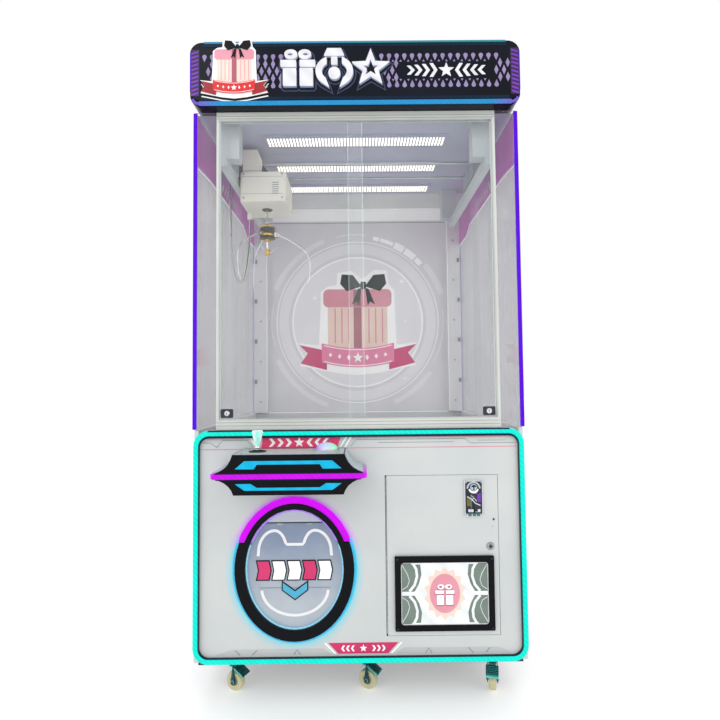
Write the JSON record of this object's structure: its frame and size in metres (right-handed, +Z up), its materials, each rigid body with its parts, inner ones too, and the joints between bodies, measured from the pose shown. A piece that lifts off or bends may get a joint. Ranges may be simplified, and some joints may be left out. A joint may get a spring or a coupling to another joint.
{
  "type": "claw crane machine",
  "caption": "Coin-operated claw crane cabinet on casters: glass case with gantry claw, joystick console, oval prize flap and service door.",
  "frame": {"origin": "centre of the machine's footprint on the floor", "axes": "+X to the right seen from the front, +Y to the rear, +Z up"},
  "size_m": [1.052, 1.122, 2.079],
  "materials": {
    "base_board": "painted",
    "cabinet_board": "satin paint",
    "front_sheet": "satin",
    "cyan_diffuser": "lit diffuser",
    "magenta_diffuser": "lit diffuser",
    "chute_sheet": "painted",
    "clear_acrylic": "clear",
    "black_moulding": "gloss",
    "header_moulding": "gloss",
    "deck_sheet": "satin",
    "bright_steel": "zinc plated",
    "chrome_trim": "polished",
    "crystal_knob": "clear tinted",
    "button_plastic": "translucent",
    "brass_parts": "polished",
    "case_glass": "clear",
    "frame_alloy": "painted",
    "trolley_plastic": "semi gloss",
    "drum_plastic": "matte",
    "cable_jacket": "matte",
    "coil_black": "black lacquer",
    "caster_steel": "zinc plated",
    "wheel_tread": "polyurethane"
  },
  "bodies": {
    "root": {"base_frame": "base_board", "side_panel_left": "cabinet_board", "side_panel_right": "cabinet_board", "rear_panel": "cabinet_board", "front_panel": "front_sheet", "front_lamp": "cyan_diffuser", "playfield": "cabinet_board", "prize_chute": "chute_sheet", "chute_guard": "clear_acrylic", "prize_ring": "black_moulding", "ring_lamp": "magenta_diffuser", "prize_window": "clear_acrylic", "console_shell": "black_moulding", "console_deck": "deck_sheet", "console_lamp": "magenta_diffuser", "side_glass_left": "case_glass", "side_glass_right": "case_glass", "front_frame": "frame_alloy", "rear_wall": "cabinet_board", "roof": "frame_alloy", "header_box": "header_moulding", "header_panel": "black_moulding", "rail_left": "frame_alloy", "rail_right": "frame_alloy"},
    "service_door": {"service_door": "front_sheet", "coin_plate": "chrome_trim", "display_window": "black_moulding"},
    "door_lock": {"door_lock": "chrome_trim"},
    "coin_button": {"coin_button": "brass_parts"},
    "prize_flap": {"prize_flap": "clear_acrylic"},
    "glass_left": {"glass_left": "case_glass"},
    "glass_right": {"glass_right": "case_glass"},
    "joystick_gimbal": {"joystick_gimbal": "bright_steel"},
    "joystick_stick": {"joystick_stick": "crystal_knob"},
    "drop_button": {"drop_button": "button_plastic"},
    "bridge": {"bridge": "frame_alloy", "harness": "cable_jacket"},
    "trolley": {"trolley": "trolley_plastic", "hoist_cord": "cable_jacket"},
    "winch_drum": {"winch_drum": "drum_plastic"},
    "claw": {"claw_body": "coil_black"},
    "claw_slider": {"claw_slider": "brass_parts"},
    "prong_right": {"prong_right": "chrome_trim"},
    "prong_rear": {"prong_rear": "chrome_trim"},
    "prong_front": {"prong_front": "chrome_trim"},
    "fork_front_left": {"fork_front_left": "caster_steel"},
    "wheel_front_left": {"wheel_front_left": "wheel_tread"},
    "pedal_front_left": {"pedal_front_left": "caster_steel"},
    "fork_front_middle": {"fork_front_middle": "caster_steel"},
    "wheel_front_middle": {"wheel_front_middle": "wheel_tread"},
    "pedal_front_middle": {"pedal_front_middle": "caster_steel"},
    "fork_front_right": {"fork_front_right": "caster_steel"},
    "wheel_front_right": {"wheel_front_right": "wheel_tread"},
    "pedal_front_right": {"pedal_front_right": "caster_steel"},
    "fork_rear_left": {"fork_rear_left": "caster_steel"},
    "wheel_rear_left": {"wheel_rear_left": "wheel_tread"},
    "fork_rear_middle": {"fork_rear_middle": "caster_steel"},
    "wheel_rear_middle": {"wheel_rear_middle": "wheel_tread"},
    "fork_rear_right": {"fork_rear_right": "caster_steel"},
    "wheel_rear_right": {"wheel_rear_right": "wheel_tread"}
  },
  "joints": [
    {"name": "bridge_travel", "type": "slide", "parent": "root", "child": "bridge", "axis": [0, 1, 0], "range_m": [0, 0.28]},
    {"name": "trolley_travel", "type": "slide", "parent": "bridge", "child": "trolley", "axis": [1, 0, 0], "range_m": [0, 0.68]},
    {"name": "claw_hoist", "type": "slide", "parent": "trolley", "child": "claw", "axis": [0, 0, -1], "range_m": [0, 0.5], "deforming": ["hoist_cord"]},
    {"name": "winch_spin", "type": "hinge", "parent": "trolley", "child": "winch_drum", "pos_m": [-0.341, -0.064, 1.704], "axis": [1, 0, 0], "range_deg": [-5, 1030]},
    {"name": "claw_plunger", "type": "slide", "parent": "claw", "child": "claw_slider", "axis": [0, 0, 1], "range_m": [0, 0.014], "stiffness_N_per_m": 400, "springref_m": -0.04},
    {"name": "prong_right_swing", "type": "hinge", "parent": "claw", "child": "prong_right", "pos_m": [-0.303, -0.093, 1.556], "axis": [0, 1, 0], "range_deg": [0, 38]},
    {"name": "prong_rear_swing", "type": "hinge", "parent": "claw", "child": "prong_rear", "pos_m": [-0.36, -0.06009, 1.556], "axis": [-0.866, -0.5, 0], "range_deg": [0, 38]},
    {"name": "prong_front_swing", "type": "hinge", "parent": "claw", "child": "prong_front", "pos_m": [-0.36, -0.12591, 1.556], "axis": [0.866, -0.5, 0], "range_deg": [0, 38]},
    {"name": "joystick_fore_aft", "type": "hinge", "parent": "root", "child": "joystick_gimbal", "pos_m": [-0.305, -0.483, 0.766], "axis": [1, 0, 0], "range_deg": [-15, 15], "stiffness_Nm_per_rad": 1},
    {"name": "joystick_side", "type": "hinge", "parent": "joystick_gimbal", "child": "joystick_stick", "pos_m": [-0.305, -0.483, 0.766], "axis": [0, 1, 0], "range_deg": [-15, 15], "stiffness_Nm_per_rad": 1},
    {"name": "drop_press", "type": "slide", "parent": "root", "child": "drop_button", "axis": [0, 0, -1], "range_m": [0, 0.004], "stiffness_N_per_m": 300, "springref_m": -0.006},
    {"name": "door_swing", "type": "hinge", "parent": "root", "child": "service_door", "pos_m": [0.0855, -0.405, 0.45], "axis": [0, 0, -1], "range_deg": [0, 100]},
    {"name": "lock_turn", "type": "hinge", "parent": "service_door", "child": "door_lock", "pos_m": [0.409, -0.405, 0.475], "axis": [0, -1, 0], "range_deg": [0, 90]},
    {"name": "coin_return_press", "type": "slide", "parent": "service_door", "child": "coin_button", "axis": [0, 1, 0], "range_m": [0, 0.003], "stiffness_N_per_m": 300, "springref_m": -0.003},
    {"name": "flap_swing", "type": "hinge", "parent": "root", "child": "prize_flap", "pos_m": [-0.204, -0.398, 0.549], "axis": [1, 0, 0], "range_deg": [0, 65]},
    {"name": "glass_left_slide", "type": "slide", "parent": "root", "child": "glass_left", "axis": [1, 0, 0], "range_m": [0, 0.41]},
    {"name": "glass_right_slide", "type": "slide", "parent": "root", "child": "glass_right", "axis": [-1, 0, 0], "range_m": [0, 0.41]},
    {"name": "swivel_front_left", "type": "hinge", "parent": "root", "child": "fork_front_left", "pos_m": [-0.431, -0.31, 0.093], "axis": [0, 0, 1], "continuous": true},
    {"name": "roll_front_left", "type": "hinge", "parent": "fork_front_left", "child": "wheel_front_left", "pos_m": [-0.40744, -0.32099, 0.03], "axis": [0.4226, 0.9063, 0], "continuous": true},
    {"name": "brake_front_left", "type": "hinge", "parent": "fork_front_left", "child": "pedal_front_left", "pos_m": [-0.42012, -0.31507, 0.076], "axis": [0.4226, 0.9063, 0], "range_deg": [0, 14]},
    {"name": "swivel_front_middle", "type": "hinge", "parent": "root", "child": "fork_front_middle", "pos_m": [0, -0.31, 0.093], "axis": [0, 0, 1], "continuous": true},
    {"name": "roll_front_middle", "type": "hinge", "parent": "fork_front_middle", "child": "wheel_front_middle", "pos_m": [0.02356, -0.32099, 0.03], "axis": [0.4226, 0.9063, 0], "continuous": true},
    {"name": "brake_front_middle", "type": "hinge", "parent": "fork_front_middle", "child": "pedal_front_middle", "pos_m": [0.01088, -0.31507, 0.076], "axis": [0.4226, 0.9063, 0], "range_deg": [0, 14]},
    {"name": "swivel_front_right", "type": "hinge", "parent": "root", "child": "fork_front_right", "pos_m": [0.431, -0.31, 0.093], "axis": [0, 0, 1], "continuous": true},
    {"name": "roll_front_right", "type": "hinge", "parent": "fork_front_right", "child": "wheel_front_right", "pos_m": [0.42427, -0.33511, 0.03], "axis": [0.9659, -0.2588, 0], "continuous": true},
    {"name": "brake_front_right", "type": "hinge", "parent": "fork_front_right", "child": "pedal_front_right", "pos_m": [0.42789, -0.32159, 0.076], "axis": [0.9659, -0.2588, 0], "range_deg": [0, 14]},
    {"name": "swivel_rear_left", "type": "hinge", "parent": "root", "child": "fork_rear_left", "pos_m": [-0.431, 0.465, 0.093], "axis": [0, 0, 1], "continuous": true},
    {"name": "roll_rear_left", "type": "hinge", "parent": "fork_rear_left", "child": "wheel_rear_left", "pos_m": [-0.40744, 0.47599, 0.03], "axis": [-0.4226, 0.9063, 0], "continuous": true},
    {"name": "swivel_rear_middle", "type": "hinge", "parent": "root", "child": "fork_rear_middle", "pos_m": [0, 0.465, 0.093], "axis": [0, 0, 1], "continuous": true},
    {"name": "roll_rear_middle", "type": "hinge", "parent": "fork_rear_middle", "child": "wheel_rear_middle", "pos_m": [-0.02356, 0.47599, 0.03], "axis": [-0.4226, -0.9063, 0], "continuous": true},
    {"name": "swivel_rear_right", "type": "hinge", "parent": "root", "child": "fork_rear_right", "pos_m": [0.431, 0.465, 0.093], "axis": [0, 0, 1], "continuous": true},
    {"name": "roll_rear_right", "type": "hinge", "parent": "fork_rear_right", "child": "wheel_rear_right", "pos_m": [0.444, 0.48752, 0.03], "axis": [-0.866, 0.5, 0], "continuous": true}
  ],
  "couplings": [
    {"joint": "winch_spin", "follows": "claw_hoist", "rad_per_m": 35.7},
    {"joint": "prong_right_swing", "follows": "claw_plunger", "rad_per_m": 47.3},
    {"joint": "prong_rear_swing", "follows": "claw_plunger", "rad_per_m": 47.3},
    {"joint": "prong_front_swing", "follows": "claw_plunger", "rad_per_m": 47.3}
  ]
}
